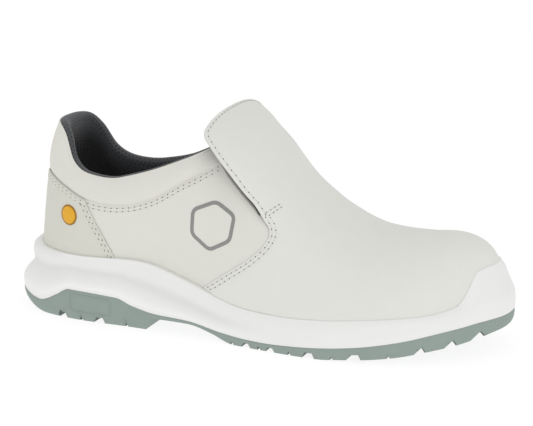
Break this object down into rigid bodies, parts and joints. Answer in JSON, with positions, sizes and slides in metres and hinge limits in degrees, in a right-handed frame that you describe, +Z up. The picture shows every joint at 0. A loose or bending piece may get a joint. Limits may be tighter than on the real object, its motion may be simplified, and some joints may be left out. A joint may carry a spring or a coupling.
{
  "type": "safety shoe",
  "caption": "Low slip-on safety shoe with a white flap vamp, padded collar, cupped white midsole with toe bumper and a lugged grey outsole.",
  "frame": {"origin": "middle of the shoe's box, on the floor under its sole", "axes": "+X from heel to toe, +Y to the inner (medial) side, +Z up"},
  "size_m": [0.3, 0.1051, 0.1295],
  "materials": {
    "outsole": "matt sage grey moulded rubber",
    "midsole": "matt white moulded polyurethane foam",
    "upper": "fine-grained off-white microfibre with a charcoal mesh lining",
    "vamp": "fine-grained off-white microfibre",
    "counter": "fine-grained off-white microfibre",
    "gore": "dark woven elastic",
    "insole": "dark felted footbed"
  },
  "bodies": {
    "root": {"outsole": "outsole", "midsole": "midsole", "upper": "upper", "vamp": "vamp", "counter": "counter", "gore_lateral": "gore", "gore_medial": "gore", "insole": "insole"}
  },
  "joints": []
}
